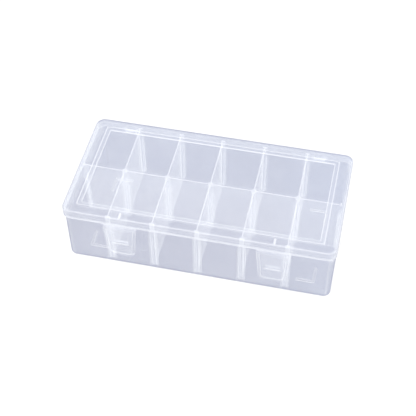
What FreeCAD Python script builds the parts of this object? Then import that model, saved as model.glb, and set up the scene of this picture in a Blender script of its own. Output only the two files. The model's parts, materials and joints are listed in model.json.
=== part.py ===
import FreeCAD, Part
import os
import re
import Sketcher

# Craft organizer box in clear polypropylene: a tray with sliding dividers under a hinged lid that two
# front flaps hold shut. Millimetres, +Z up. X runs along the length and the latches face -Y. The
# origin is on the table under the middle of the box.

V = FreeCAD.Vector
doc = FreeCAD.newDocument("organizer_box")
sheet = doc.addObject("Spreadsheet::Sheet", "Sizes")

COLUMNS = 6

SIZES = [
    ("lid_length", "270", "outside length of the lid"),
    ("lid_depth", "132", "outside depth of the lid"),
    ("lid_top", "71.5", "height of the lid's border above the table"),
    ("lid_plate", "1.4", "thickness of the lid's plate"),
    ("lid_corner", "9", "outside radius of the lid's upright corners"),
    ("lid_edge", "1.6", "round along the lid's top edge"),
    ("skirt_drop", "10.2", "height of the skirt from the border's top to its lower edge"),
    ("skirt_wall", "1.4", "thickness of the skirt"),
    ("skirt_gap", "0.5", "clearance between the skirt and the tray"),
    ("rim_gap", "0.3", "clearance between the tray's rim and the lid's plate"),
    ("panel_side_inset", "13.5", "distance from the lid's end to the sunken panel's outer step"),
    ("panel_front_inset", "11.2", "distance from the lid's front to that step"),
    ("panel_band", "4", "width of the band between the panel's two steps"),
    ("panel_step", "0.45", "height of each of the two steps"),
    ("outer_step_corner", "4", "corner radius of the outer step"),
    ("inner_step_corner", "2", "corner radius of the inner step"),
    ("step_wall", "0.8", "how far the steps on the plate's underside stand outside those on top"),
    ("rib_length", "7.5", "length of the short rib behind each latch"),
    ("rib_width", "2", "width of that rib"),
    ("rib_rise", "0.9", "height of that rib"),
    ("tray_wall", "1.5", "thickness of the tray's walls"),
    ("tray_floor", "1.6", "thickness of the tray's floor"),
    ("bottom_round", "3", "outside round between the walls and the floor"),
    ("floor_round", "1.8", "inside round between the walls and the floor"),
    ("foot_drop", "1.6", "height of the stacking feet"),
    ("foot_wall", "2.4", "thickness of a foot's arms"),
    ("foot_arm_side", "19", "length of a foot's arm along the front or back"),
    ("foot_arm_end", "19", "length of a foot's arm along the end"),
    ("foot_corner", "2", "radius of a foot's outer corner"),
    ("foot_end_gap", "1.3", "clearance of the feet inside the panel of a lid below, at its ends"),
    ("foot_front_gap", "2.7", "the same clearance at its front and back"),
    ("channel_width", "7.8", "outside width of a divider channel"),
    ("channel_lip", "1.2", "thickness of a channel's lips"),
    ("channel_drop", "11.7", "distance from the tray's rim down to the channels at their wall"),
    ("channel_slope", "5.5", "how far the channels' tops slope down from the wall to the lips"),
    ("divider_sheet", "1.4", "thickness of a divider"),
    ("flange_width", "4.6", "width of a divider's end flange"),
    ("flange_thick", "1.4", "thickness of that flange"),
    ("flange_lift", "2", "height of the flange's foot above the sheet's foot"),
    ("slide_gap", "0.35", "clearance of a flange or sheet in its channel, each side"),
    ("end_gap", "0.3", "clearance of a divider's end, and of its foot above the floor"),
    ("divider_drop", "0.4", "distance from the lid's sunken panel down to the dividers"),
    ("latch_inset", "59.3", "distance from the lid's end to the middle of a latch"),
    ("latch_width", "33", "width of a latch at its hinge"),
    ("latch_narrow", "3.2", "how far each side of a latch draws in towards its foot"),
    ("latch_length", "40.8", "distance from the skirt's lower edge to the latch's foot"),
    ("latch_plate", "1.4", "thickness of the latch's plate"),
    ("latch_corner", "7", "radius of the latch's lower corners"),
    ("latch_stand", "0.5", "how far the plate's inner face stands out from the skirt's outer face"),
    ("latch_rim", "2.7", "width of the latch's raised rim"),
    ("latch_rim_rise", "0.9", "height of that rim"),
    ("web_thick", "0.5", "thickness of the living hinge"),
    ("web_drop", "2.2", "height of the living hinge"),
    ("web_split", "0.36", "gap at the bending line of the living hinge"),
    ("pocket_width", "16.6", "width of the raised pad over the catch"),
    ("pocket_rise", "0.6", "how far the pad stands out"),
    ("catch_width", "13.8", "width of the tray's catch"),
    ("catch_drop", "23.4", "distance from the skirt's lower edge down to the catch's holding face"),
    ("catch_face", "2.4", "height of the catch's front face"),
    ("catch_ramp", "6", "height of the slope above the front face"),
    ("catch_gap", "0.3", "clearance between the catch and the latch, and of the lug's tip"),
    ("lug_rise", "3.7", "height of the lug"),
    ("lug_width", "14.4", "width of the lug"),
    ("hinge_inset", "35", "distance from the lid's end to the middle of a rear hinge"),
    ("hinge_span", "16", "width over the two ears of a rear hinge"),
    ("ear_thick", "2.2", "thickness of an ear"),
    ("ear_round", "2.8", "radius of an ear round the pin"),
    ("pin_radius", "1.5", "radius of the hinge pin"),
    ("pin_gap", "0.08", "radial clearance of the claw on the pin"),
    ("claw_wall", "1.3", "wall of the claw"),
    ("claw_gap", "0.3", "clearance of the claw beside the ears, under the skirt and to the tray"),
    ("claw_mouth", "2.3", "width of the claw's mouth"),
    ("claw_climb", "4", "height of the claw's root on the skirt"),
    ("edge_soft", "0.35", "small round on edges that hands touch"),
    ("sink_depth", "0.6", "how deep a feature reaches into what carries it"),
    ("cut_overrun", "1", "how far a cut runs past the solid"),
    ("half_length", "=lid_length / 2", "half the lid's length"),
    ("half_depth", "=lid_depth / 2", "half the lid's depth"),
    ("skirt_foot", "=lid_top - skirt_drop", "height of the skirt's lower edge"),
    ("plate_under", "=lid_top - lid_plate", "height of the plate's underside"),
    ("skirt_half_length", "=half_length - skirt_wall", "half the length inside the skirt"),
    ("skirt_half_depth", "=half_depth - skirt_wall", "half the depth inside the skirt"),
    ("skirt_corner", "=lid_corner - skirt_wall", "corner radius inside the skirt"),
    ("tray_half_length", "=skirt_half_length - skirt_gap", "half the tray's length"),
    ("tray_half_depth", "=skirt_half_depth - skirt_gap", "half the tray's depth"),
    ("tray_corner", "=skirt_corner - skirt_gap", "outside radius of the tray's corners"),
    ("tray_top", "=plate_under - rim_gap", "height of the tray's rim"),
    ("room_half_length", "=tray_half_length - tray_wall", "half the length inside the tray"),
    ("room_half_depth", "=tray_half_depth - tray_wall", "half the depth inside the tray"),
    ("room_corner", "=tray_corner - tray_wall", "corner radius inside the tray"),
    ("floor_top", "=foot_drop + tray_floor", "height of the floor's upper face"),
    ("channel_top", "=tray_top - channel_drop", "height of the channels at their wall"),
    ("channel_lip_top", "=channel_top - channel_slope", "height of the top of the lips"),
    ("latch_offset", "=half_length - latch_inset", "middle of a latch from the middle of the box"),
    ("hinge_offset", "=half_length - hinge_inset", "middle of a hinge from the middle of the box"),
    ("outer_half_length", "=half_length - panel_side_inset", "half the length inside the outer step"),
    ("outer_half_depth", "=half_depth - panel_front_inset", "half the depth inside the outer step"),
    ("inner_half_length", "=outer_half_length - panel_band", "half the length inside the inner step"),
    ("inner_half_depth", "=outer_half_depth - panel_band", "half the depth inside the inner step"),
    ("panel_under", "=plate_under - 2 * panel_step", "height of the sunken panel's underside"),
    ("foot_half_length", "=inner_half_length - foot_end_gap", "half the length over the feet"),
    ("foot_half_depth", "=inner_half_depth - foot_front_gap", "half the depth over the feet"),
    ("slot_half", "=flange_width / 2 + slide_gap", "half the width of a channel's slot"),
    ("mouth_half", "=divider_sheet / 2 + slide_gap", "half the width of a channel's mouth"),
    ("slot_depth", "=end_gap + flange_thick + slide_gap", "depth of a channel's slot"),
    ("channel_depth", "=slot_depth + channel_lip", "depth of a channel over its lips"),
    ("sheet_half", "=divider_sheet / 2", "half the thickness of a divider"),
    ("divider_pitch", "=2 * (room_half_length + sheet_half) / %d" % COLUMNS,
     "distance between short dividers, for compartments of one width"),
    ("divider_foot", "=floor_top + end_gap", "height of a divider's foot"),
    ("flange_foot", "=divider_foot + flange_lift", "height of a flange's foot"),
    ("divider_top", "=panel_under - divider_drop", "height of a divider's top"),
    ("short_outer", "=room_half_depth - end_gap", "outer end of a short divider from the middle"),
    ("short_inner", "=sheet_half + end_gap", "inner end of a short divider from the middle"),
    ("long_end", "=room_half_length - end_gap", "end of the long divider from the middle"),
    ("claw_round", "=pin_radius + pin_gap + claw_wall", "outside radius of the claw"),
    ("hinge_height", "=skirt_foot - claw_gap - claw_round", "height of the hinge pin"),
    ("hinge_reach", "=tray_half_depth + claw_round + claw_gap", "the hinge pin behind the middle"),
    ("claw_width", "=hinge_span - 2 * ear_thick - 2 * claw_gap", "width of a claw"),
    ("web_middle", "=half_depth - web_thick / 2", "the living hinge in front of the middle"),
    ("web_height", "=skirt_foot - web_drop / 2", "height of the living hinge's bending line"),
    ("web_tip", "=(web_thick + web_split) / 2", "middle of a web's rounded tip from that line"),
    ("latch_inner", "=half_depth + latch_stand", "inner face of a latch's plate"),
    ("latch_outer", "=latch_inner + latch_plate", "outer face of a latch's plate"),
    ("latch_head", "=skirt_foot - web_drop", "height of a latch's upper edge"),
    ("latch_foot", "=skirt_foot - latch_length", "height of a latch's lower edge"),
    ("latch_foot_half", "=latch_width / 2 - latch_narrow", "half a latch's width at its foot"),
    ("catch_under", "=skirt_foot - catch_drop", "height of the catch's holding face"),
    ("catch_tip", "=latch_inner - catch_gap", "front face of the catch"),
    ("lug_tip", "=tray_half_depth + catch_gap", "tip of the latch's lug"),
    ("lug_top", "=catch_under - catch_gap", "height of the lug's holding face"),
    ("front_reach", "=latch_outer + latch_rim_rise", "the box's foremost face from the middle"),
    ("back_reach", "=hinge_reach + claw_round", "the box's rearmost face from the middle"),
    ("centre_shift", "=(back_reach - front_reach) / 2", "how far the walls' middle is set forward"),
]

for row, (alias, content, note) in enumerate(SIZES, start=1):
    sheet.set("A%d" % row, alias)
    sheet.set("B%d" % row, content)
    sheet.set("C%d" % row, note)
    sheet.setAlias("B%d" % row, alias)
    doc.recompute()

SIZE_NAME = re.compile("[a-z]+(?:_[a-z]+)+")
NEAR = 1e-4


def size(alias):
    """The value of one size in the sheet."""
    return float(sheet.get(alias))


def bind(formula):
    """A formula in the sheet's names, written so that other objects can use it."""
    return SIZE_NAME.sub(lambda found: "Sizes." + found.group(0), formula)


def new_body(label):
    """An empty body for one piece of the box."""
    body = doc.addObject("PartDesign::Body", label)
    body.Label = label
    body.setExpression("Placement.Base.y", bind("-centre_shift"))
    return body


def new_sketch(body, name, plane, shift=(None, None, None), turn=0):
    """A sketch on one of the body's origin planes, shifted by formulas and turned in its own plane."""
    sketch = body.newObject("Sketcher::SketchObject", name)
    support = [feature for feature in body.Origin.OriginFeatures if feature.Role == plane][0]
    sketch.AttachmentSupport = [(support, "")]
    sketch.MapMode = "FlatFace"
    sketch.AttachmentOffset = FreeCAD.Placement(V(0, 0, 0), FreeCAD.Rotation(V(0, 0, 1), turn))
    for axis, formula in zip("xyz", shift):
        if formula:
            sketch.setExpression("AttachmentOffset.Base." + axis, bind(formula))
    return sketch


def pin_point(sketch, line, end, across, along, start):
    """Hold one point of the sketch at two formulas."""
    for kind, formula, value in (("DistanceX", across, start.x), ("DistanceY", along, start.y)):
        number = sketch.addConstraint(Sketcher.Constraint(kind, -1, 1, line, end, value))
        sketch.setExpression("Constraints[%d]" % number, bind(formula))


def add_outline(sketch, corners):
    """A closed outline of straight lines whose corners stand at pairs of formulas."""
    first = sketch.GeometryCount
    count = len(corners)
    start = [FreeCAD.Rotation(V(0, 0, 1), 360 * i / count).multVec(V(1, 0, 0)) for i in range(count)]
    for i in range(count):
        sketch.addGeometry(Part.LineSegment(start[i], start[(i + 1) % count]), False)
    for i in range(count):
        following = first + (i + 1) % count
        sketch.addConstraint(Sketcher.Constraint("Coincident", first + i, 2, following, 1))
    for i, (across, along) in enumerate(corners):
        pin_point(sketch, first + i, 1, across, along, start[i])


def add_circle(sketch, across, along, radius):
    """A circle whose middle and radius follow formulas."""
    circle = sketch.addGeometry(Part.Circle(V(1, 1, 0), V(0, 0, 1), 1), False)
    pin_point(sketch, circle, 3, across, along, V(1, 1, 0))
    number = sketch.addConstraint(Sketcher.Constraint("Radius", circle, 1))
    sketch.setExpression("Constraints[%d]" % number, bind(radius))


def add_rectangle(sketch, half_across, half_along):
    """A rectangle about the sketch's origin."""
    add_outline(sketch, [("-" + half_across, "-" + half_along), (half_across, "-" + half_along),
                         (half_across, half_along), ("-" + half_across, half_along)])


def add_pad(body, sketch, length, both_ways=False, back=False):
    """Add the sketch's outlines as a solid of the given length."""
    pad = body.newObject("PartDesign::Pad", sketch.Name + "_pad")
    pad.Profile = sketch
    pad.SideType = "Symmetric" if both_ways else "One side"
    pad.Reversed = back
    pad.setExpression("Length", bind(length))
    doc.recompute()


def add_pocket(body, sketch, length, both_ways=False, back=False):
    """Cut the sketch's outlines out of the body, and make sure that something is cut."""
    before = body.Shape.Volume
    pocket = body.newObject("PartDesign::Pocket", sketch.Name + "_pocket")
    pocket.Profile = sketch
    pocket.SideType = "Symmetric" if both_ways else "One side"
    pocket.Reversed = back
    pocket.setExpression("Length", bind(length))
    doc.recompute()
    if body.Shape.Volume > before - NEAR:
        raise RuntimeError(pocket.Name + " cuts nothing")


def add_fillet(body, name, radius, chosen):
    """Round the edges that the test chooses."""
    tip = body.Tip
    edges = ["Edge%d" % (i + 1) for i, edge in enumerate(tip.Shape.Edges) if chosen(edge.BoundBox)]
    if not edges:
        raise RuntimeError(name + " finds no edge")
    fillet = body.newObject("PartDesign::Fillet", name)
    fillet.Base = (tip, edges)
    fillet.setExpression("Radius", bind(radius))
    doc.recompute()


def same(value, target):
    """True when two lengths are equal."""
    return abs(value - target) < NEAR


def upright_at(half_x, half_y):
    """A test for the upright edges at a rectangle's corners."""
    def chosen(box):
        is_line = box.XLength < NEAR and box.YLength < NEAR
        return is_line and same(abs(box.XMin), half_x) and same(abs(box.YMin), half_y)
    return chosen


def level_at(height, low_x, low_y, high_x, high_y):
    """A test for flat edges at one height that lie between two rectangles about the origin."""
    def chosen(box):
        reach_x = max(abs(box.XMin), abs(box.XMax))
        reach_y = max(abs(box.YMin), abs(box.YMax))
        inside = reach_x < high_x + NEAR and reach_y < high_y + NEAR
        beyond = reach_x > low_x - NEAR or reach_y > low_y - NEAR
        return same(box.ZMin, height) and same(box.ZMax, height) and inside and beyond
    return chosen


def add_channel(body, name, across, along, foot, height, turn):
    """One divider channel: two hooked legs that stand on a wall's face and open away from it."""
    sketch = new_sketch(body, name, "XY_Plane", (across, along, foot), turn)
    for side in ("", "-"):
        add_outline(sketch, [
            (side + "channel_width / 2", "-sink_depth"),
            (side + "channel_width / 2", "channel_depth"),
            (side + "mouth_half", "channel_depth"),
            (side + "mouth_half", "slot_depth"),
            (side + "slot_half", "slot_depth"),
            (side + "slot_half", "-sink_depth"),
        ])
    add_pad(body, sketch, height)


def add_lead_in(sketch, wall, inward):
    """The wedge that is cut off the channels' tops, so that they slope down from their wall."""
    lips = wall + inward + "channel_depth"
    beyond = lips + inward + "cut_overrun"
    add_outline(sketch, [
        (wall, "channel_top"),
        (lips, "channel_lip_top"),
        (beyond, "channel_lip_top"),
        (beyond, "channel_top + cut_overrun"),
        (wall, "channel_top + cut_overrun"),
    ])


PLACES = ["%g * divider_pitch" % (number - COLUMNS / 2) for number in range(1, COLUMNS)]
CHANNEL_RUN = "%g * divider_pitch + 2 * channel_width" % (COLUMNS - 2)
SIDES = (("left", "-"), ("right", ""))


def make_tray():
    """The lower box with its channels, catches, hinge ears, pins and feet."""
    body = new_body("tray")
    plan = new_sketch(body, "tray_plan", "XY_Plane", (None, None, "foot_drop"))
    add_rectangle(plan, "tray_half_length", "tray_half_depth")
    add_pad(body, plan, "tray_top - foot_drop")
    room = new_sketch(body, "room_plan", "XY_Plane", (None, None, "floor_top"))
    add_rectangle(room, "room_half_length", "room_half_depth")
    add_pocket(body, room, "tray_top - floor_top + cut_overrun", back=True)
    add_fillet(body, "tray_corners", "tray_corner",
               upright_at(size("tray_half_length"), size("tray_half_depth")))
    add_fillet(body, "room_corners", "room_corner",
               upright_at(size("room_half_length"), size("room_half_depth")))
    add_fillet(body, "tray_bottom", "bottom_round",
               level_at(size("foot_drop"), 0, 0, size("tray_half_length"), size("tray_half_depth")))
    add_fillet(body, "room_floor", "floor_round",
               level_at(size("floor_top"), 0, 0, size("room_half_length"), size("room_half_depth")))
    add_fillet(body, "tray_rim", "edge_soft",
               level_at(size("tray_top"), 0, 0, size("tray_half_length"), size("tray_half_depth")))

    foot = "floor_top - sink_depth"
    height = "channel_top - floor_top + sink_depth"
    for number, place in enumerate(PLACES, start=1):
        add_channel(body, "front_channel_%d" % number, place, "-room_half_depth", foot, height, 0)
        add_channel(body, "back_channel_%d" % number, place, "room_half_depth", foot, height, 180)
    add_channel(body, "left_channel", "-room_half_length", None, foot, height, -90)
    add_channel(body, "right_channel", "room_half_length", None, foot, height, 90)

    slopes = new_sketch(body, "short_lead_in", "YZ_Plane")
    add_lead_in(slopes, "-room_half_depth", " + ")
    add_lead_in(slopes, "room_half_depth", " - ")
    add_pocket(body, slopes, CHANNEL_RUN, both_ways=True)
    slopes = new_sketch(body, "long_lead_in", "XZ_Plane")
    add_lead_in(slopes, "-room_half_length", " + ")
    add_lead_in(slopes, "room_half_length", " - ")
    add_pocket(body, slopes, "2 * channel_width", both_ways=True)

    for side, sign in SIDES:
        add_catch(body, side, sign)
        add_ears(body, side, sign)
    add_feet(body)
    return body


def add_catch(body, side, sign):
    """The wedge on the front wall that holds a latch's lug down."""
    sketch = new_sketch(body, side + "_catch", "YZ_Plane", (None, None, sign + "latch_offset"))
    add_outline(sketch, [
        ("-tray_half_depth + sink_depth", "catch_under"),
        ("-catch_tip", "catch_under"),
        ("-catch_tip", "catch_under + catch_face"),
        ("-tray_half_depth", "catch_under + catch_face + catch_ramp"),
        ("-tray_half_depth + sink_depth", "catch_under + catch_face + catch_ramp"),
    ])
    add_pad(body, sketch, "catch_width", both_ways=True)


def add_ears(body, side, sign):
    """Two ears behind the rear wall with a hinge pin between them."""
    for end, way in (("inner", " - "), ("outer", " + ")):
        place = sign + "hinge_offset" + way + "(hinge_span - ear_thick) / 2"
        arm = new_sketch(body, side + "_" + end + "_arm", "YZ_Plane", (None, None, place))
        add_outline(arm, [
            ("tray_half_depth - sink_depth", "hinge_height - 2 * ear_round"),
            ("tray_half_depth", "hinge_height - 2 * ear_round"),
            ("hinge_reach", "hinge_height - ear_round"),
            ("hinge_reach", "hinge_height + ear_round"),
            ("tray_half_depth - sink_depth", "hinge_height + ear_round"),
        ])
        add_pad(body, arm, "ear_thick", both_ways=True)
        ear = new_sketch(body, side + "_" + end + "_ear", "YZ_Plane", (None, None, place))
        add_circle(ear, "hinge_reach", "hinge_height", "ear_round")
        add_pad(body, ear, "ear_thick", both_ways=True)
    pin = new_sketch(body, side + "_pin", "YZ_Plane", (None, None, sign + "hinge_offset"))
    add_circle(pin, "hinge_reach", "hinge_height", "pin_radius")
    add_pad(body, pin, "hinge_span - ear_thick", both_ways=True)


def add_feet(body):
    """Four L-shaped feet that drop into the sunken panel of a lid below."""
    sketch = new_sketch(body, "feet_plan", "XY_Plane")
    for x_sign, x_in in (("-", " + "), ("", " - ")):
        for y_sign, y_in in (("-", " + "), ("", " - ")):
            corner_x = x_sign + "foot_half_length"
            corner_y = y_sign + "foot_half_depth"
            add_outline(sketch, [
                (corner_x, corner_y),
                (corner_x + x_in + "foot_arm_side", corner_y),
                (corner_x + x_in + "foot_arm_side", corner_y + y_in + "foot_wall"),
                (corner_x + x_in + "foot_wall", corner_y + y_in + "foot_wall"),
                (corner_x + x_in + "foot_wall", corner_y + y_in + "foot_arm_end"),
                (corner_x, corner_y + y_in + "foot_arm_end"),
            ])
    add_pad(body, sketch, "foot_drop + sink_depth")
    add_fillet(body, "foot_corners", "foot_corner",
               upright_at(size("foot_half_length"), size("foot_half_depth")))


def make_lid():
    """The cover with its skirt, stepped sunken panel, ribs, claws and half webs."""
    body = new_body("lid")
    plan = new_sketch(body, "lid_plan", "XY_Plane", (None, None, "skirt_foot"))
    add_rectangle(plan, "half_length", "half_depth")
    add_pad(body, plan, "skirt_drop")
    inside = new_sketch(body, "skirt_plan", "XY_Plane", (None, None, "skirt_foot"))
    add_rectangle(inside, "skirt_half_length", "skirt_half_depth")
    add_pocket(body, inside, "plate_under - skirt_foot", back=True)
    add_fillet(body, "lid_corners", "lid_corner", upright_at(size("half_length"), size("half_depth")))
    add_fillet(body, "skirt_corners", "skirt_corner",
               upright_at(size("skirt_half_length"), size("skirt_half_depth")))
    add_fillet(body, "lid_top_edge", "lid_edge",
               level_at(size("lid_top"), 0, 0, size("half_length"), size("half_depth")))

    for place, steps in (("outer", "panel_step"), ("inner", "2 * panel_step")):
        half_x = place + "_half_length"
        half_y = place + "_half_depth"
        below = new_sketch(body, place + "_under", "XY_Plane", (None, None, "plate_under - " + steps))
        add_rectangle(below, "(" + half_x + " + step_wall)", "(" + half_y + " + step_wall)")
        add_pad(body, below, steps + " + sink_depth")
        add_fillet(body, place + "_under_corners", place + "_step_corner + step_wall",
                   upright_at(size(half_x) + size("step_wall"), size(half_y) + size("step_wall")))
        above = new_sketch(body, place + "_panel", "XY_Plane", (None, None, "lid_top - " + steps))
        add_rectangle(above, half_x, half_y)
        add_pocket(body, above, steps + " + cut_overrun", back=True)
        add_fillet(body, place + "_panel_corners", place + "_step_corner",
                   upright_at(size(half_x), size(half_y)))

    for side, sign in SIDES:
        add_rib(body, side, sign)
        add_claw(body, side, sign)
        add_web(body, side, sign, "skirt_foot + sink_depth", "web_height + web_tip")
    return body


def add_rib(body, side, sign):
    """The short rib that runs over the lid's front edge behind a latch."""
    sketch = new_sketch(body, side + "_rib", "YZ_Plane", (None, None, sign + "latch_offset"))
    add_outline(sketch, [
        ("-half_depth + rib_length", "lid_top - sink_depth"),
        ("-half_depth + rib_length", "lid_top + rib_rise"),
        ("-half_depth + lid_edge", "lid_top + rib_rise"),
        ("-half_depth", "lid_top + rib_rise - lid_edge"),
        ("-half_depth", "lid_top - lid_edge - sink_depth"),
        ("-half_depth + sink_depth", "lid_top - lid_edge - sink_depth"),
        ("-half_depth + sink_depth", "lid_top - sink_depth"),
    ])
    add_pad(body, sketch, "rib_width", both_ways=True)


def add_claw(body, side, sign):
    """The claw under the rear skirt that snaps over a hinge pin."""
    place = (None, None, sign + "hinge_offset")
    root = new_sketch(body, side + "_claw_root", "YZ_Plane", place)
    add_outline(root, [
        ("half_depth - sink_depth", "skirt_foot + claw_climb"),
        ("half_depth - sink_depth", "hinge_height"),
        ("hinge_reach + claw_round", "hinge_height"),
        ("hinge_reach + claw_round", "skirt_foot"),
        ("half_depth", "skirt_foot + claw_climb"),
    ])
    add_pad(body, root, "claw_width", both_ways=True)
    ring = new_sketch(body, side + "_claw_ring", "YZ_Plane", place)
    add_circle(ring, "hinge_reach", "hinge_height", "claw_round")
    add_pad(body, ring, "claw_width", both_ways=True)
    bore = new_sketch(body, side + "_claw_bore", "YZ_Plane", place)
    add_circle(bore, "hinge_reach", "hinge_height", "pin_radius + pin_gap")
    add_pocket(body, bore, "claw_width + cut_overrun", both_ways=True)
    mouth = new_sketch(body, side + "_claw_mouth", "YZ_Plane", place)
    add_outline(mouth, [
        ("hinge_reach - claw_mouth / 2", "hinge_height - claw_round - cut_overrun"),
        ("hinge_reach + claw_mouth / 2", "hinge_height - claw_round - cut_overrun"),
        ("hinge_reach + claw_mouth / 2", "hinge_height"),
        ("hinge_reach - claw_mouth / 2", "hinge_height"),
    ])
    add_pocket(body, mouth, "claw_width + cut_overrun", both_ways=True)


def add_web(body, side, sign, root, tip):
    """Half of a living hinge: a thin strip from its root to a rounded tip at the bending line."""
    strip = new_sketch(body, side + "_web_strip", "YZ_Plane", (None, None, sign + "latch_offset"))
    add_outline(strip, [
        ("-half_depth", root),
        ("-half_depth + web_thick", root),
        ("-half_depth + web_thick", tip),
        ("-half_depth", tip),
    ])
    add_pad(body, strip, "latch_width", both_ways=True)
    end = new_sketch(body, side + "_web_end", "YZ_Plane", (None, None, sign + "latch_offset"))
    add_circle(end, "-web_middle", tip, "web_thick / 2")
    add_pad(body, end, "latch_width", both_ways=True)


def make_latch(side, sign):
    """A front flap: a plate with a raised rim, a pad over the catch and a lug that hooks under it."""
    body = new_body(side + "_latch")
    place = sign + "latch_offset"
    plate = new_sketch(body, side + "_plate", "XZ_Plane", (place, None, "latch_inner"))
    add_outline(plate, [
        ("-latch_width / 2", "latch_head"),
        ("-latch_foot_half", "latch_foot"),
        ("latch_foot_half", "latch_foot"),
        ("latch_width / 2", "latch_head"),
    ])
    add_pad(body, plate, "latch_plate + latch_rim_rise")
    foot = size("latch_foot")
    head = size("latch_head")
    face = -size("latch_outer") - size("latch_rim_rise")
    add_fillet(body, side + "_latch_corners", "latch_corner",
               lambda box: same(box.ZMin, foot) and same(box.ZMax, foot) and box.XLength < NEAR)
    add_fillet(body, side + "_latch_face", "edge_soft",
               lambda box: same(box.YMin, face) and same(box.YMax, face) and box.ZMin < head - NEAR)

    hollow = new_sketch(body, side + "_hollow", "XZ_Plane", (place, None, "latch_outer"))
    add_outline(hollow, [
        ("-latch_width / 2 + latch_rim", "latch_head + cut_overrun"),
        ("-latch_foot_half + latch_rim", "latch_foot + latch_rim"),
        ("latch_foot_half - latch_rim", "latch_foot + latch_rim"),
        ("latch_width / 2 - latch_rim", "latch_head + cut_overrun"),
    ])
    add_pocket(body, hollow, "latch_rim_rise + cut_overrun", back=True)
    inner_foot = foot + size("latch_rim")
    add_fillet(body, side + "_hollow_corners", "latch_corner - latch_rim",
               lambda box: same(box.ZMin, inner_foot) and same(box.ZMax, inner_foot) and box.XLength < NEAR)

    pad = new_sketch(body, side + "_catch_pad", "XZ_Plane", (place, None, "latch_outer - sink_depth"))
    add_outline(pad, [
        ("-pocket_width / 2", "latch_head"),
        ("-pocket_width / 2", "catch_under"),
        ("pocket_width / 2", "catch_under"),
        ("pocket_width / 2", "latch_head"),
    ])
    add_pad(body, pad, "pocket_rise + sink_depth")

    shelf = new_sketch(body, side + "_shelf", "YZ_Plane", (None, None, place))
    add_outline(shelf, [
        ("-half_depth + web_thick", "latch_head"),
        ("-half_depth + web_thick", "latch_head - web_thick"),
        ("-latch_inner", "latch_head - latch_plate"),
        ("-latch_inner - sink_depth", "latch_head - latch_plate"),
        ("-latch_inner - sink_depth", "latch_head"),
    ])
    add_pad(body, shelf, "latch_width", both_ways=True)
    add_web(body, side, sign, "latch_head - sink_depth / 2", "web_height - web_tip")

    lug = new_sketch(body, side + "_lug", "YZ_Plane", (None, None, place))
    add_outline(lug, [
        ("-latch_inner - sink_depth", "lug_top"),
        ("-lug_tip", "lug_top"),
        ("-lug_tip", "lug_top - lug_rise / 2"),
        ("-latch_inner", "lug_top - lug_rise"),
        ("-latch_inner - sink_depth", "lug_top - lug_rise"),
    ])
    add_pad(body, lug, "lug_width", both_ways=True)
    return body


def add_flange(body, name, plane_points):
    """One end flange, standing from above the sheet's foot to the divider's top."""
    sketch = new_sketch(body, name, "XY_Plane", (None, None, "flange_foot"))
    add_outline(sketch, plane_points)
    add_pad(body, sketch, "divider_top - flange_foot")


def make_short_divider(row, number, place, sign):
    """A short divider between an outer wall and the long divider."""
    label = "%s_divider_%d" % (row, number)
    body = new_body(label)
    outer = sign + "short_outer"
    inner = sign + "short_inner"
    inward = " + " if sign == "-" else " - "
    outward = " - " if sign == "-" else " + "
    profile = new_sketch(body, label + "_sheet", "YZ_Plane", (None, None, place))
    add_outline(profile, [
        (outer, "divider_top"),
        (outer, "flange_foot"),
        (outer + inward + "flange_lift", "divider_foot"),
        (inner, "divider_foot"),
        (inner, "divider_top"),
    ])
    add_pad(body, profile, "divider_sheet", both_ways=True)
    for end, face, way in (("outer", outer, inward), ("inner", inner, outward)):
        add_flange(body, "%s_%s_flange" % (label, end), [
            (place + " - flange_width / 2", face),
            (place + " + flange_width / 2", face),
            (place + " + flange_width / 2", face + way + "flange_thick"),
            (place + " - flange_width / 2", face + way + "flange_thick"),
        ])
    top = size("divider_top")
    add_fillet(body, label + "_top", "edge_soft", lambda box: same(box.ZMin, top) and same(box.ZMax, top))
    return body


def make_centre_divider():
    """The long divider, with flanged ends and five channels on each face."""
    body = new_body("centre_divider")
    profile = new_sketch(body, "long_sheet", "XZ_Plane")
    add_outline(profile, [
        ("-long_end", "divider_top"),
        ("-long_end", "flange_foot"),
        ("-long_end + flange_lift", "divider_foot"),
        ("long_end - flange_lift", "divider_foot"),
        ("long_end", "flange_foot"),
        ("long_end", "divider_top"),
    ])
    add_pad(body, profile, "divider_sheet", both_ways=True)
    for side, sign, way in (("left", "-", " + "), ("right", "", " - ")):
        add_flange(body, "long_%s_flange" % side, [
            (sign + "long_end", "-flange_width / 2"),
            (sign + "long_end" + way + "flange_thick", "-flange_width / 2"),
            (sign + "long_end" + way + "flange_thick", "flange_width / 2"),
            (sign + "long_end", "flange_width / 2"),
        ])
    top = size("divider_top")
    add_fillet(body, "long_top", "edge_soft", lambda box: same(box.ZMin, top) and same(box.ZMax, top))
    height = "channel_top - divider_foot"
    for number, place in enumerate(PLACES, start=1):
        add_channel(body, "long_front_%d" % number, place, "-sheet_half", "divider_foot", height, 180)
        add_channel(body, "long_back_%d" % number, place, "sheet_half", "divider_foot", height, 0)
    slopes = new_sketch(body, "long_channel_lead_in", "YZ_Plane")
    add_lead_in(slopes, "-sheet_half", " - ")
    add_lead_in(slopes, "sheet_half", " + ")
    add_pocket(body, slopes, CHANNEL_RUN, both_ways=True)
    return body


pieces = [make_tray(), make_lid(), make_centre_divider()]
for side, sign in SIDES:
    pieces.append(make_latch(side, sign))
for number, place in enumerate(PLACES, start=1):
    pieces.append(make_short_divider("front", number, place, "-"))
    pieces.append(make_short_divider("back", number, place, ""))

doc.recompute()
for item in doc.Objects:
    if "Invalid" in item.State or "Error" in item.State:
        raise RuntimeError("%s is %s" % (item.Name, item.State))
for piece in pieces:
    if piece.Shape.isNull() or not piece.Shape.isValid() or len(piece.Shape.Solids) != 1:
        raise RuntimeError(piece.Label + " is not one valid solid")

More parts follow.
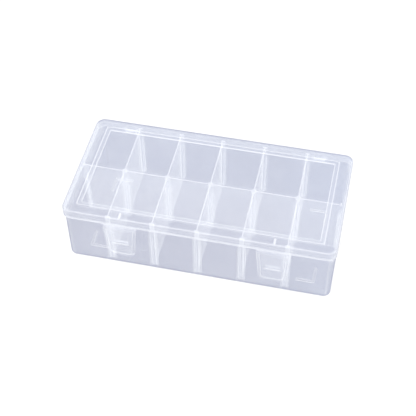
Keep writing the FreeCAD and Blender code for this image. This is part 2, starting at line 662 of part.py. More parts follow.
os.makedirs("parts", exist_ok=True)
for piece in pieces:
    piece.Shape.exportStep("parts/%s.step" % piece.Label)
    box = piece.Shape.BoundBox
    print("%-18s %8.1f mm3  x %7.2f %7.2f  y %7.2f %7.2f  z %6.2f %6.2f" % (
        piece.Label, piece.Shape.Volume, box.XMin, box.XMax, box.YMin, box.YMax, box.ZMin, box.ZMax))
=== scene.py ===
# %% [markdown]
# # A clear craft organizer box
#
# The object is a shallow box with twelve compartments, a lid on two rear hinges and two latch flaps in
# front, all moulded in clear polypropylene. The rigid pieces come from the CAD model, so this lesson is
# about looks: how thin clear plastic catches light, how its layers add up, and how a strip that bends
# between two moving pieces is modelled.

# %% Load the imported frame
import json
import math

import bmesh
import bpy
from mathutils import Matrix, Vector


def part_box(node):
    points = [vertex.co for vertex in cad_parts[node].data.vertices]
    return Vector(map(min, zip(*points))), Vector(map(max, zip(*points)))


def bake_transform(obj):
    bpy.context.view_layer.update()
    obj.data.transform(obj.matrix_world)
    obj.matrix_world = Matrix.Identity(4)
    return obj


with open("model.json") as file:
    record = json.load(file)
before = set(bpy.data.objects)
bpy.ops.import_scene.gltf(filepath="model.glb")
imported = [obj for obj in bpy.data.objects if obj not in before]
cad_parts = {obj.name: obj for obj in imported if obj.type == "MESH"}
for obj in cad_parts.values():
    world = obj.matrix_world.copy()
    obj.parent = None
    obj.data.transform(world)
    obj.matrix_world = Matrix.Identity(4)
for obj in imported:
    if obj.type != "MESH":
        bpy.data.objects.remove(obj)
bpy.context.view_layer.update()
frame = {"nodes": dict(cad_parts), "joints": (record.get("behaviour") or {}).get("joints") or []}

# %% [markdown]
# ## The camera
#
# The photograph looks down on the box from a little to the right of its front. The camera stands where
# the edges of the CAD model fall on the edges in the photograph, and its lens is a long one, so the
# box's sides stay nearly parallel.

# %% Camera
LENS_MM = 85.88
SENSOR_MM = 36
CAMERA_PLACE = (0.14788, -0.64898, 0.79591)
CAMERA_TURN_DEG = (41.0618, 0.4917, 12.5103)

lens = bpy.data.cameras.new("photo_camera")
lens.lens = LENS_MM
lens.sensor_width = SENSOR_MM
camera = bpy.data.objects.new("photo_camera", lens)
bpy.context.scene.collection.objects.link(camera)
camera.location = CAMERA_PLACE
camera.rotation_euler = [math.radians(angle) for angle in CAMERA_TURN_DEG]
bpy.context.scene.camera = camera
print("camera stands", round(camera.location.length, 3), "m from the point under the box's middle")

# %% [markdown]
# ## Small helpers for node trees
#
# Every finish below is a node tree that is built in code. Three helpers keep the cells short: one starts
# a material with an empty tree, one adds a node and sets its inputs, and one does a step of arithmetic.

# %% Helpers for materials


def new_material(name):
    """A material with an empty node tree, and that tree."""
    material = bpy.data.materials.new(name)
    material.use_nodes = True
    material.node_tree.nodes.clear()
    return material, material.node_tree


def add_node(tree, kind, inputs=None, **settings):
    """A node with its settings, whose inputs are linked where a socket is given and set otherwise."""
    node = tree.nodes.new(kind)
    for setting, value in settings.items():
        setattr(node, setting, value)
    for socket, value in (inputs or {}).items():
        if isinstance(value, bpy.types.NodeSocket):
            tree.links.new(value, node.inputs[socket])
        else:
            node.inputs[socket].default_value = value
    return node


def calculate(tree, operation, *values):
    """One step of arithmetic on numbers or sockets."""
    node = add_node(tree, "ShaderNodeMath", dict(enumerate(values)), operation=operation)
    return node.outputs[0]


# %% [markdown]
# An effect that several finishes share is a node group, so that it is built once and each finish only
# brings its own values. One helper makes a group with named sockets, and the other places it in a tree.

# %% Helpers for node groups


def new_group(name, inputs, outputs):
    """A shader node group with named sockets, and its input and output nodes."""
    group = bpy.data.node_groups.new(name, "ShaderNodeTree")
    for label, kind, value in inputs:
        socket = group.interface.new_socket(label, in_out="INPUT", socket_type="NodeSocket" + kind)
        if value is not None:
            socket.default_value = value
    for label, kind in outputs:
        group.interface.new_socket(label, in_out="OUTPUT", socket_type="NodeSocket" + kind)
    return group, group.nodes.new("NodeGroupInput"), group.nodes.new("NodeGroupOutput")


def place_group(tree, group, title="", **inputs):
    """The group as a node in a tree, with its own title and values."""
    return add_node(tree, "ShaderNodeGroup", inputs, node_tree=group, label=title)


# %% [markdown]
# ## What makes clear plastic look like plastic
#
# Polypropylene is never as clear as glass. Three things show on a real box, and each gets a node group
# of its own that every finish below shares:
#
# - the wall is a little milky, in soft clouds and streaks where the melt flowed into the mould;
# - light that travels inside a wall comes out at its edges, so edges and thin tops glow white, which is
#   painted on here as a highlight;
# - hands and shelves leave fine scuffs, most of all on the faces that touch something.
#
# The milk comes first. An image of real haze could be used, but noise in the piece's own coordinates has
# no seams and moves with the piece. One noise gives the clouds. A finer one, drawn out along the box,
# gives the streaks, and the finest is the grain of the mould, which becomes a bump.

# %% Milky clouds and flow streaks
STREAK_STRETCH = (0.12, 1.0, 0.5)
GRAIN_SCALE = 1400.0

cloud_group, given, result = new_group(
    "milky_flow",
    [("Vector", "Vector", None), ("Cloud Size", "Float", 40.0), ("Streak Size", "Float", 260.0)],
    [("Haze", "Float"), ("Grain", "Float")])
clouds = add_node(cloud_group, "ShaderNodeTexNoise",
                  {"Vector": given.outputs["Vector"], "Scale": given.outputs["Cloud Size"], "Detail": 3.0})
stretch = add_node(cloud_group, "ShaderNodeMapping",
                   {"Vector": given.outputs["Vector"], "Scale": STREAK_STRETCH})
streaks = add_node(cloud_group, "ShaderNodeTexNoise",
                   {"Vector": stretch.outputs[0], "Scale": given.outputs["Streak Size"], "Detail": 2.0})
grain = add_node(cloud_group, "ShaderNodeTexNoise",
                 {"Vector": given.outputs["Vector"], "Scale": GRAIN_SCALE, "Detail": 2.0})
both = calculate(cloud_group, "ADD", clouds.outputs[0], streaks.outputs[0])
cloud_group.links.new(calculate(cloud_group, "MULTIPLY", both, 0.5), result.inputs["Haze"])
cloud_group.links.new(grain.outputs[0], result.inputs["Grain"])
print(cloud_group.name, "has", len(cloud_group.nodes), "nodes")

# %% [markdown]
# A Bevel node averages the normal over a small radius. Where that average leaves the face's own normal
# there is an edge within the radius, and the difference of the two is a mask of the sharp edges. An edge
# with a rounding is found in another way: its faces point neither up nor sideways but between the two.
# With s for the square of the normal's Z, 4 s (1 - s) is 1 halfway between and 0 at both ends.

# %% Painted highlights on edges
# Both masks below paint a white highlight on edges: on sharp ones, and on rounded ones that face halfway up.
MM = 0.001

edge_highlight_group, given, result = new_group(
    "painted_edge_highlights", [("Radius", "Float", 0.6 * MM), ("Gain", "Float", 5.0)],
    [("Sharp", "Float"), ("Rounded", "Float")])
softened = add_node(edge_highlight_group, "ShaderNodeBevel", {"Radius": given.outputs["Radius"]}, samples=8)
face = add_node(edge_highlight_group, "ShaderNodeNewGeometry")
match = add_node(edge_highlight_group, "ShaderNodeVectorMath",
                 {0: softened.outputs[0], 1: face.outputs["True Normal"]}, operation="DOT_PRODUCT")
away = calculate(edge_highlight_group, "SUBTRACT", 1.0, match.outputs["Value"])
strong = calculate(edge_highlight_group, "MULTIPLY", away, given.outputs["Gain"])
edge_highlight_group.links.new(calculate(edge_highlight_group, "MINIMUM", strong, 1.0), result.inputs["Sharp"])

upward = add_node(edge_highlight_group, "ShaderNodeSeparateXYZ", {0: face.outputs["Normal"]}).outputs["Z"]
squared = calculate(edge_highlight_group, "MULTIPLY", upward, upward)
rest = calculate(edge_highlight_group, "SUBTRACT", 4.0, calculate(edge_highlight_group, "MULTIPLY", squared, 4.0))
edge_highlight_group.links.new(calculate(edge_highlight_group, "MULTIPLY", squared, rest), result.inputs["Rounded"])
print(edge_highlight_group.name, "has", len(edge_highlight_group.nodes), "nodes")

# %% [markdown]
# Some places are milky because more plastic lies there, such as the flanges of the dividers and the legs
# of their channels, and others carry a painted highlight, such as the steps of the lid and the tops of the
# dividers. They could be painted on an unwrapped image. Here they are found by where they are, which
# needs no unwrapping and stays sharp from near by. The box repeats itself, so its coordinates are folded
# first: X becomes the distance from the nearest divider column or from the middle, and Y, where front and
# back look alike, the distance from the centre divider.

# %% Folded coordinates
column_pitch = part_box("front_divider_2")[0].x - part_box("front_divider_1")[0].x
shift_y = (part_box("front_divider_1")[0].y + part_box("back_divider_1")[1].y) / 2

fold_group, given, result = new_group(
    "folded_place",
    [("Vector", "Vector", None), ("Pitch", "Float", column_pitch), ("Shift", "Float", shift_y)],
    [("Column", "Vector"), ("Beside", "Vector"), ("Mirrored", "Vector")])
apart = add_node(fold_group, "ShaderNodeSeparateXYZ", {0: given.outputs["Vector"]})
half_pitch = calculate(fold_group, "MULTIPLY", given.outputs["Pitch"], 0.5)
less_pitch = calculate(fold_group, "MULTIPLY", given.outputs["Pitch"], -0.5)
column = calculate(fold_group, "ABSOLUTE",
                   calculate(fold_group, "WRAP", apart.outputs["X"], half_pitch, less_pitch))
beside = calculate(fold_group, "ABSOLUTE", apart.outputs["X"])
inward = calculate(fold_group, "SUBTRACT", apart.outputs["Y"], given.outputs["Shift"])
either = calculate(fold_group, "ABSOLUTE", inward)
for label, across, along in (("Column", column, inward), ("Beside", beside, inward),
                             ("Mirrored", beside, either)):
    joined = add_node(fold_group, "ShaderNodeCombineXYZ", {"X": across, "Y": along, "Z": apart.outputs["Z"]})
    fold_group.links.new(joined.outputs[0], result.inputs[label])
print(fold_group.name, "has columns", round(column_pitch / MM, 2), "mm apart, and its centre divider at Y",
      round(shift_y / MM, 2))

# %% [markdown]
# A soft box in these coordinates is then a mask. It is 1 inside, and fades to 0 over the last fraction of
# a millimetre before its sides.

# %% Soft boxes
FADE = 0.3 * MM

box_group, given, result = new_group(
    "soft_box", [("Vector", "Vector", None), ("Center", "Vector", None), ("Half", "Vector", None),
                 ("Soft", "Float", FADE)], [("Mask", "Float")])
offset = add_node(box_group, "ShaderNodeVectorMath",
                  {0: given.outputs["Vector"], 1: given.outputs["Center"]}, operation="SUBTRACT")
reach = add_node(box_group, "ShaderNodeVectorMath", {0: offset.outputs[0]}, operation="ABSOLUTE")
depth_in = add_node(box_group, "ShaderNodeVectorMath", {0: given.outputs["Half"], 1: reach.outputs[0]},
                    operation="SUBTRACT")
sides = add_node(box_group, "ShaderNodeSeparateXYZ", {0: depth_in.outputs[0]})
nearest = calculate(box_group, "MINIMUM", sides.outputs["X"], sides.outputs["Y"])
nearest = calculate(box_group, "MINIMUM", nearest, sides.outputs["Z"])
inside = add_node(box_group, "ShaderNodeMath", {0: nearest, 1: given.outputs["Soft"]}, operation="DIVIDE",
                  use_clamp=True)
box_group.links.new(inside.outputs[0], result.inputs["Mask"])
print(box_group.name, "has", len(box_group.nodes), "nodes")

# %% [markdown]
# Scuffs are short fine lines, and they come in patches. So a noise that is drawn out to lines is cut off
# high, and a coarse noise decides where the lines show.

# %% Fine scuffs
LINE_TURN = (0.3, 0.2, 0.6)
LINE_STRETCH = (0.06, 1.0, 1.0)
LINE_SCALE = 1800.0
LINE_CUT = (0.62, 0.75)
PATCH_SCALE = 55.0
PATCH_CUT = (0.5, 0.7)

scuff_group, given, result = new_group(
    "fine_scuffs", [("Vector", "Vector", None), ("Amount", "Float", 0.5)], [("Mask", "Float")])
turned = add_node(scuff_group, "ShaderNodeMapping",
                  {"Vector": given.outputs["Vector"], "Rotation": LINE_TURN, "Scale": LINE_STRETCH})
lines = add_node(scuff_group, "ShaderNodeTexNoise",
                 {"Vector": turned.outputs[0], "Scale": LINE_SCALE, "Detail": 1.0})
patches = add_node(scuff_group, "ShaderNodeTexNoise",
                   {"Vector": given.outputs["Vector"], "Scale": PATCH_SCALE, "Detail": 2.0})
thin = add_node(scuff_group, "ShaderNodeMapRange",
                {"Value": lines.outputs[0], "From Min": LINE_CUT[0], "From Max": LINE_CUT[1]})
rare = add_node(scuff_group, "ShaderNodeMapRange",
                {"Value": patches.outputs[0], "From Min": PATCH_CUT[0], "From Max": PATCH_CUT[1]})
marks = calculate(scuff_group, "MULTIPLY", thin.outputs[0], rare.outputs[0])
scuff_group.links.new(calculate(scuff_group, "MULTIPLY", marks, given.outputs["Amount"]),
                      result.inputs["Mask"])
print(scuff_group.name, "has", len(scuff_group.nodes), "nodes")

# %% [markdown]
# ## How white the plastic is
#
# The masks come together in one value between 0 and 1. The brighter of two masks wins, since two edges
# that cross aren't brighter than one. A place can also calm what came before it: where many edges lie
# close together, they would make a tangle of lines that real plastic blurs.

# %% The white of edges, scuffs and places


def white_mask(tree, point, radius, sharp, rounded, scuffed, places):
    """How white the plastic is at a point, from the painted highlights on its edges, its scuffs and its
    places in order.
    """
    edges = place_group(tree, edge_highlight_group, Radius=radius)
    folded = place_group(tree, fold_group, Vector=point)
    white = calculate(tree, "MULTIPLY", edges.outputs["Sharp"], sharp)
    white = calculate(tree, "MAXIMUM", white, calculate(tree, "MULTIPLY", edges.outputs["Rounded"], rounded))
    white = calculate(tree, "MAXIMUM", white, scuffed)
    for title, folding, middle, half, glow in places:
        spot = place_group(tree, box_group, title, Vector=folded.outputs[folding],
                           Center=[MM * value for value in middle], Half=[MM * value for value in half])
        if glow > 0:
            white = calculate(tree, "MAXIMUM", white, calculate(tree, "MULTIPLY", spot.outputs["Mask"], glow))
        else:
            kept = calculate(tree, "MULTIPLY_ADD", spot.outputs["Mask"], glow, 1.0)
            white = calculate(tree, "MULTIPLY", white, kept)
    return white


# %% [markdown]
# ## One recipe for the clear finishes
#
# Refracting glass would be the obvious choice, but it bends the view so strongly that a wall of a
# millimetre turns dark at its edges. Thin plastic does the reverse. So each surface is mostly see-through
# by its Alpha, a little milky seen face on, more so seen from the side, and whiter and more solid where
# the white mask says so.

# %% The recipe
WHITE = (0.97, 0.98, 1.0, 1.0)
PALE = (0.92, 0.945, 1.0, 1.0)
PLASTIC_IOR = 1.49
SIDE_POWER = 3.0
HAZE_GAIN, HAZE_BASE = 0.9, 0.55
HAZE_ROUGH, SCUFF_ROUGH = 0.16, 0.3
GRAIN_STRENGTH, GRAIN_DEPTH = 0.06, 0.2 * MM


def clear_plastic(name, face_on, side_on, sharp, rounded, roughness, scuffs, places, radius=0.8 * MM):
    """Clear moulded plastic: milk, painted edge highlights, scuffs, and places that are thick or painted
    whiter.

    A place is a title, a folding, the middle and the half size of a box in millimetres, and how white it
    is. One with a negative value takes white away from what comes before it.
    """
    material, tree = new_material(name)
    point = add_node(tree, "ShaderNodeTexCoord").outputs["Object"]
    flow = place_group(tree, cloud_group, Vector=point)
    wear = place_group(tree, scuff_group, Vector=point, Amount=scuffs)
    white = white_mask(tree, point, radius, sharp, rounded, wear.outputs["Mask"], places)

    view = add_node(tree, "ShaderNodeLayerWeight", {"Blend": 0.5})
    sideways = calculate(tree, "POWER", view.outputs["Facing"], SIDE_POWER)
    milk = calculate(tree, "MULTIPLY_ADD", sideways, side_on - face_on, face_on)
    cloudy = calculate(tree, "MULTIPLY_ADD", flow.outputs["Haze"], HAZE_GAIN, HAZE_BASE)
    milk = calculate(tree, "MULTIPLY", milk, cloudy)
    clear = calculate(tree, "SUBTRACT", 1.0, white)
    alpha = calculate(tree, "MULTIPLY_ADD", milk, clear, white)

    color = add_node(tree, "ShaderNodeMix", {"Factor": white, "A": PALE, "B": WHITE}, data_type="RGBA")
    rough = calculate(tree, "MULTIPLY_ADD", flow.outputs["Haze"], HAZE_ROUGH, roughness - HAZE_ROUGH / 2)
    rough = calculate(tree, "MULTIPLY_ADD", wear.outputs["Mask"], SCUFF_ROUGH, rough)
    bump = add_node(tree, "ShaderNodeBump",
                    {"Strength": GRAIN_STRENGTH, "Distance": GRAIN_DEPTH, "Height": flow.outputs["Grain"]})
    shader = add_node(tree, "ShaderNodeBsdfPrincipled",
                      {"Base Color": color.outputs[2], "Roughness": rough, "IOR": PLASTIC_IOR, "Alpha": alpha,
                       "Normal": bump.outputs[0]})
    add_node(tree, "ShaderNodeOutputMaterial", {"Surface": shader.outputs[0]})
    print(name, "has", len(tree.nodes), "nodes and", len(places), "places")
    return material


# %% [markdown]
# ## The tray
#
# All pieces are the same plastic, yet they don't look the same. The tray is a deep thin shell. The
# channels that hold the dividers catch the light on their legs in front, painted here as a highlight, and
# hardly do so at the back and at the ends, where they are calmed. The tops of the walls carry a faint
# painted highlight, and the L-shaped feet show through the walls as pale lines.
#
# The places are written from the measures of the CAD pieces, in millimetres: X from the box's middle, Z
# from its foot, and Y from the centre divider, which stands a little in front of the frame's middle,
# because the hinges stick out further behind than the latches do in front. Each line of the list is one
# place: its title, its folding, its middle, its half size and how white it is.

# %% Finish of the tray
FAR = 999
FOOT_X, FOOT_Y, FOOT_Z = 116.2, 48.1, 0.8
FOOT_ARM, FOOT_WALL = 19, 2.4

half_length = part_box("lid")[1].x / MM
half_depth = (shift_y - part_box("lid")[0].y) / MM
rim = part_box("tray")[1].z / MM
flange = (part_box("front_divider_1")[1].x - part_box("front_divider_1")[0].x) / MM
leg = flange / 2 + 1
channel_x, channel_y, channel_z = half_length - 5.2, half_depth - 4.8, 29
arm_x, arm_y = FOOT_X - FOOT_ARM / 2, FOOT_Y - FOOT_ARM / 2
wall_x, wall_y = FOOT_X - FOOT_WALL / 2, FOOT_Y - FOOT_WALL / 2

tray_plastic = clear_plastic(
    "tray_plastic", face_on=0.105, side_on=0.15, sharp=0.3, rounded=0.0, roughness=0.25, scuffs=0.25, places=[
        ("back legs, calmed", "Column", (leg, channel_y, channel_z), (1.5, 3.6, 29.6), -0.6),
        ("end legs, calmed", "Mirrored", (channel_x, leg, channel_z), (3.6, 1.5, 29.6), -0.8),
        # Painted highlights: the extra white of the front legs over the back legs, and the white on the wall
        # tops.
        ("front legs", "Column", (leg, -channel_y, channel_z), (0.9, 3.4, 29.4), 0.13),
        ("back legs", "Column", (leg, channel_y, channel_z), (0.9, 3.4, 29.4), 0.05),
        ("top of the back wall", "Beside", (0, half_depth - 2, rim - 2), (FAR, 2.2, 2.2), 0.06),
        ("tops of the end walls", "Mirrored", (half_length - 3, 0, rim - 8.8), (2.2, FAR, 9), 0.14),
        ("feet, arms from front to back", "Mirrored", (wall_x, arm_y, FOOT_Z), (1.6, 9.8, 1.2), 0.25),
        ("feet, arms from left to right", "Mirrored", (arm_x, wall_y, FOOT_Z), (9.6, 1.6, 1.2), 0.25),
    ])

# %% [markdown]
# ## The lid
#
# The lid's panel lies two steps below its border, and painted highlights on the steps draw the fine
# double frame in the photograph. The same steps on the underside would double every line, so they are
# calmed. The foot of the skirt and the two short ribs in front are the other pale lines, painted
# highlights too.

# %% Finish of the lid
OUTER_X, OUTER_Y = 121.5, 54.8
INNER_X, INNER_Y = 117.5, 50.8

border = rim + 1.7
outer_z, band_z, inner_z = border - 0.2, border - 0.5, border - 0.7
band_x, band_y = (OUTER_X + INNER_X) / 2, (OUTER_Y + INNER_Y) / 2
latch_x = (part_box("right_latch")[0].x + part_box("right_latch")[1].x) / 2 / MM
rib_middle = (latch_x, half_depth - 2, border + 0.6)

lid_plastic = clear_plastic(
    "lid_plastic", face_on=0.09, side_on=0.42, sharp=0.6, rounded=0.15, roughness=0.22, scuffs=0.1, places=[
        ("steps on the underside, calmed", "Mirrored", (0, 0, border - 1.9), (124, 58, 0.6), -0.9),
        # The foot of the skirt, the steps and the ribs below carry painted highlights.
        ("foot of the front skirt", "Beside", (0, -half_depth, border - 9.6), (FAR, 3, 0.9), 0.28),
        ("end skirts", "Mirrored", (half_length, 0, border - 5.5), (1.8, FAR, 6), 0.24),
        ("band in front and behind", "Mirrored", (0, band_y, band_z), (OUTER_X, 2, 0.6), 0.06),
        ("band at the ends", "Mirrored", (band_x, 0, band_z), (2, OUTER_Y, 0.6), 0.06),
        ("outer step, ends", "Mirrored", (OUTER_X, 0, outer_z), (0.6, OUTER_Y, 0.5), 0.45),
        ("inner step, ends", "Mirrored", (INNER_X, 0, inner_z), (0.6, INNER_Y, 0.5), 0.38),
        ("outer step, front", "Beside", (0, -OUTER_Y, outer_z), (OUTER_X, 0.6, 0.4), 0.5),
        ("inner step, front", "Beside", (0, -INNER_Y, inner_z), (INNER_X, 0.4, 0.4), 0.3),
        ("inner step, back", "Beside", (0, INNER_Y, inner_z), (INNER_X, 0.8, 0.4), 0.75),
        ("ribs, calmed", "Mirrored", rib_middle, (1.4, 7, 1), -0.35),
        ("ribs", "Mirrored", rib_middle, (1.3, 6, 0.6), 0.44),
    ])

# %% [markdown]
# ## The latches
#
# The latches are thicker and handled more, so they are rougher, and their edges carry strong painted
# highlights. Behind the raised pad of each lies a pocket for the tray's catch, and a lug hooks under that
# catch. In the photograph the lug shows as two pale lines, so the tangle of edges around it is calmed and
# the two lines are put back as painted highlights, like the lines across the head and the pad.

# %% Finish of the latches
POCKET_HALF = 8.3

latch_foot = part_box("right_latch")[0].z / MM
pocket_y, pocket_z = half_depth + 2.4, latch_foot + 27
front_y, lug_y = half_depth + 2, half_depth - 1
pocket_inner, pocket_outer = latch_x - POCKET_HALF, latch_x + POCKET_HALF

latch_plastic = clear_plastic(
    "latch_plastic", face_on=0.085, side_on=0.35, sharp=0.6, rounded=0.15, roughness=0.28,
    scuffs=0.2, places=[
        ("pocket, inner side calmed", "Mirrored", (pocket_inner, pocket_y, pocket_z), (1.2, 2, 11.5), -0.8),
        ("pocket, outer side calmed", "Mirrored", (pocket_outer, pocket_y, pocket_z), (1.2, 2, 11.5), -0.8),
        ("head, calmed", "Mirrored", (latch_x, half_depth + 0.5, latch_foot + 38.1), (FAR, 4, 1.4), -0.6),
        ("lug, calmed", "Mirrored", (latch_x, half_depth - 1.5, latch_foot + 15.5), (9, 3, 2.6), -0.8),
        ("pad", "Mirrored", (latch_x, half_depth, latch_foot + 28), (12, 4, 10), 0.02),
        # The lines below are painted highlights.
        ("line across the head", "Mirrored", (latch_x, front_y, latch_foot + 36.7), (FAR, 2.5, 0.45), 0.22),
        ("upper line on the pad", "Mirrored", (latch_x, front_y, latch_foot + 33), (12, 2.5, 0.35), 0.12),
        ("lower line on the pad", "Mirrored", (latch_x, front_y, latch_foot + 22), (12, 2.5, 0.35), 0.1),
        ("top of the lug", "Mirrored", (latch_x, lug_y, latch_foot + 17.2), (9, 2.8, 0.4), 0.18),
        ("bottom of the lug", "Mirrored", (latch_x, lug_y, latch_foot + 13.7), (9, 2.8, 0.5), 0.4),
    ])

# %% [markdown]
# ## The dividers
#
# The dividers stand upright, and their tops draw the white grid that is the first thing one sees in the
# photograph; that white is a painted highlight along each top. The flanges of the short ones are milky,
# and whiter in front, most of all at their heads, where a highlight is painted. Where the short dividers
# meet the long one, and at the long one's ends, many edges lie close together, so they are calmed.

# %% Finishes of the dividers
divider_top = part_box("centre_divider")[1].z / MM
flange_y = half_depth - 4.3
# The white of the tops is a painted highlight, and so is the extra white on the front flanges' heads.
tops = ("tops", "Mirrored", (0, 0, divider_top), (FAR, FAR, 0.35), 0.32)

short_plastic = clear_plastic(
    "short_divider_plastic", face_on=0.08, side_on=0.16, sharp=0.35, rounded=0.2, roughness=0.25, scuffs=0.2,
    places=[
        tops,
        ("inner ends, calmed", "Mirrored", (0, 2.5, 34), (FAR, 3, 32.5), -0.6),
        ("front flanges", "Column", (0, -flange_y, 35), (FAR, 1.2, FAR), 0.09),
        ("heads of the front flanges", "Column", (0, -flange_y, divider_top - 3.8), (FAR, 1.2, 6), 0.32),
        ("back flanges", "Column", (0, flange_y, 35), (FAR, 1.2, FAR), 0.04),
    ])
centre_plastic = clear_plastic(
    "centre_divider_plastic", face_on=0.085, side_on=0.18, sharp=0.3, rounded=0.15, roughness=0.25,
    scuffs=0.2, places=[
        tops,
        ("ends, calmed", "Mirrored", (half_length - 4.3, 0, 34), (2.6, 5, 32.5), -0.7),
        ("legs of the channels, calmed", "Column", (leg, 0, 30), (2, 6, 28.8), -0.5),
        ("legs of the channels", "Column", (leg, 0, 30), (0.9, 5.3, 28.4), 0.03),
    ])

# %% [markdown]
# Each CAD piece now gets its finish in its material slot, and its mesh stays as it is.

# %% Finishes on the pieces
finishes = {"tray": tray_plastic, "lid": lid_plastic, "left_latch": latch_plastic,
            "right_latch": latch_plastic, "centre_divider": centre_plastic}
for name, piece in frame["nodes"].items():
    piece.data.materials.clear()
    piece.data.materials.append(finishes.get(name, short_plastic))
print("finished nodes:", len(frame["nodes"]))

# %% [markdown]
# ## The living hinges
#
# Each latch hangs from the lid by a strip of the same plastic, about half a millimetre thin, that bends a
# hundred degrees. The CAD model has it as two halves with a hair's gap, because a solid can't bend. Here
# the whole strip is modelled over the two halves. A box is cut across many times, and near its middle the
# front and the back are drawn together, since a living hinge is thinnest at its bending line.

# %% The hinge strips
STRIP_THICK = 0.62 * MM
STRIP_NECK = 0.42 * MM
STRIP_HEIGHT = 2.4 * MM
STRIP_CUTS = 23
NECK_REACH = 0.28 * MM
EXTRA_WIDTH = 0.1 * MM


def hinge_strip(side):
    """The thin strip between the lid and one latch."""
    joint = [joint for joint in frame["joints"] if joint["name"] == side + "_latch_hinge"][0]
    middle = Vector(joint["pos_m"])
    low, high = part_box(side + "_latch")
    width = high.x - low.x + EXTRA_WIDTH
    mesh = bmesh.new()
    bmesh.ops.create_cube(mesh, size=1)
    bmesh.ops.scale(mesh, verts=mesh.verts, vec=(width, STRIP_THICK, STRIP_HEIGHT))
    upright = [edge for edge in mesh.edges
               if abs(edge.verts[0].co.z - edge.verts[1].co.z) > STRIP_HEIGHT / 2]
    bmesh.ops.subdivide_edges(mesh, edges=upright, cuts=STRIP_CUTS, use_grid_fill=True)
    for corner in mesh.verts:
        near = math.exp(-(corner.co.z / NECK_REACH) ** 2)
        corner.co.y *= 1 - near * (1 - STRIP_NECK / STRIP_THICK)
    bmesh.ops.translate(mesh, verts=mesh.verts, vec=middle)
    data = bpy.data.meshes.new(side + "_hinge_strip")
    mesh.to_mesh(data)
    mesh.free()
    strip = bpy.data.objects.new(side + "_hinge_strip", data)
    bpy.context.scene.collection.objects.link(strip)
    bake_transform(strip)
    print(strip.name, "is", round(width / MM, 2), "mm wide, with", len(data.polygons), "faces")
    return strip


strips = [hinge_strip("left"), hinge_strip("right")]

# %% [markdown]
# Polypropylene turns white where it is bent again and again, so the strips get the same recipe with more
# milk in it. Their sides lie so close together that the edges are looked for within a smaller radius.

# %% Finish of the strips
strip_plastic = clear_plastic("strip_plastic", face_on=0.15, side_on=0.3, sharp=0.2, rounded=0.0,
                              roughness=0.3, scuffs=0.2, places=[], radius=0.3 * MM)
for strip in strips:
    strip.data.materials.append(strip_plastic)

# %% [markdown]
# ## Floor and the painted shade
#
# The photograph was cut out to pure white, yet through the clear walls one still sees a pale blue-grey,
# the shade under the box. The floor and the world do both: seen directly they are white, and seen
# through plastic they show that shade, painted as a blue-grey glow. A ray that has passed a clear surface
# has a Transparent Depth above zero, so that is the test.
#
# The floor's white is part glow and part diffuse paper, and the paper keeps the box's soft shadow.
# Through the plastic, the painted shade is a little lighter to the right and at the back, as painted
# light, as in the photograph.

# %% Floor
# The first colour below is painted shade, the blue-grey seen through the plastic; the second is that shade
# painted lighter to the right and at the back.
PAINTED_SHADE = (0.35, 0.365, 0.49, 1)
PAINTED_SHADE_FAR = (0.392, 0.431, 0.588, 1)
PAPER = (0.95, 0.95, 0.95, 1)
PAPER_SHARE = 0.4
RIGHT_FADE = (0.05, 0.12)
BACK_FADE = (0.02, 0.08)

bpy.ops.mesh.primitive_plane_add(size=6, location=(0, 0, 0))
floor = bpy.context.object
floor.name = "studio_floor"


def seen_through_plastic(tree):
    """1 for camera rays that have passed plastic, and 0 for all others."""
    path = add_node(tree, "ShaderNodeLightPath")
    passed = calculate(tree, "GREATER_THAN", path.outputs["Transparent Depth"], 0.5)
    return calculate(tree, "MULTIPLY", path.outputs["Is Camera Ray"], passed)


def half_share(tree, coordinate, fade):
    """0 before a stretch of floor, 0.5 behind it and a ramp along it, in metres."""
    ramp = add_node(tree, "ShaderNodeMapRange",
                    {"Value": coordinate, "From Min": fade[0], "From Max": fade[1], "To Max": 0.5})
    return ramp.outputs[0]


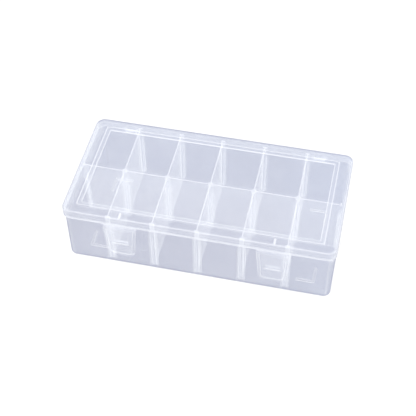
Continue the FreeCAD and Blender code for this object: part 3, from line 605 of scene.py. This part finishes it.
paper, tree = new_material("studio_paper")
glow = add_node(tree, "ShaderNodeEmission", {"Color": (1, 1, 1, 1)})
matt = add_node(tree, "ShaderNodeBsdfDiffuse", {"Color": PAPER})
white_side = add_node(tree, "ShaderNodeMixShader", {0: PAPER_SHARE, 1: glow.outputs[0], 2: matt.outputs[0]})
ground = add_node(tree, "ShaderNodeSeparateXYZ", {0: add_node(tree, "ShaderNodeTexCoord").outputs["Object"]})
far_share = calculate(tree, "ADD", half_share(tree, ground.outputs["X"], RIGHT_FADE),
                      half_share(tree, ground.outputs["Y"], BACK_FADE))
painted_shade_tint = add_node(tree, "ShaderNodeMix", {"Factor": far_share, "A": PAINTED_SHADE, "B": PAINTED_SHADE_FAR}, data_type="RGBA")
painted_shade_side = add_node(tree, "ShaderNodeEmission", {"Color": painted_shade_tint.outputs[2]})
paper_mix = add_node(tree, "ShaderNodeMixShader",
                     {0: seen_through_plastic(tree), 1: white_side.outputs[0], 2: painted_shade_side.outputs[0]})
add_node(tree, "ShaderNodeOutputMaterial", {"Surface": paper_mix.outputs[0]})
floor.data.materials.append(paper)
print(floor.name, "is", round(floor.dimensions.x, 2), "m wide")

# %% [markdown]
# The world does the same with its colour alone, white and, seen through plastic, the painted shade, and is
# the soft light from all around.

# %% World
world = bpy.data.worlds.new("studio_air")
bpy.context.scene.world = world
world.use_nodes = True
air = world.node_tree.nodes["Background"]
sky = add_node(world.node_tree, "ShaderNodeMix",
               {"Factor": seen_through_plastic(world.node_tree), "A": (1, 1, 1, 1), "B": PAINTED_SHADE},
               data_type="RGBA")
world.node_tree.links.new(sky.outputs[2], air.inputs["Color"])
air.inputs["Strength"].default_value = 1
print(world.name, "has strength", air.inputs["Strength"].default_value)

# %% [markdown]
# One large soft box above the left front adds the gentle gloss. It stays weaker than the world's light,
# so that pale faces don't clip to white.

# %% Lamp
LAMP_PLACE = Vector((-0.3, -0.2, 1.2))
LAMP_TARGET = Vector((0, 0, 0.05))
LAMP_SIZE = 0.6
LAMP_WATTS = 6

lamp = bpy.data.lights.new("top_light", "AREA")
lamp.size = LAMP_SIZE
lamp.energy = LAMP_WATTS
stand = bpy.data.objects.new("top_light", lamp)
bpy.context.scene.collection.objects.link(stand)
stand.location = LAMP_PLACE
stand.rotation_euler = (LAMP_TARGET - LAMP_PLACE).to_track_quat("-Z", "Y").to_euler()
print(stand.name, "has", lamp.energy, "watts")

# %% [markdown]
# ## Render settings that belong to clear layers
#
# One line of sight crosses a dozen or more clear surfaces, so the transparent bounces must not run out.

# %% Bounces
scene = bpy.context.scene
scene.view_settings.view_transform = "Standard"
scene.cycles.max_bounces = 16
scene.cycles.transparent_max_bounces = 48
print("transparent bounces:", scene.cycles.transparent_max_bounces)
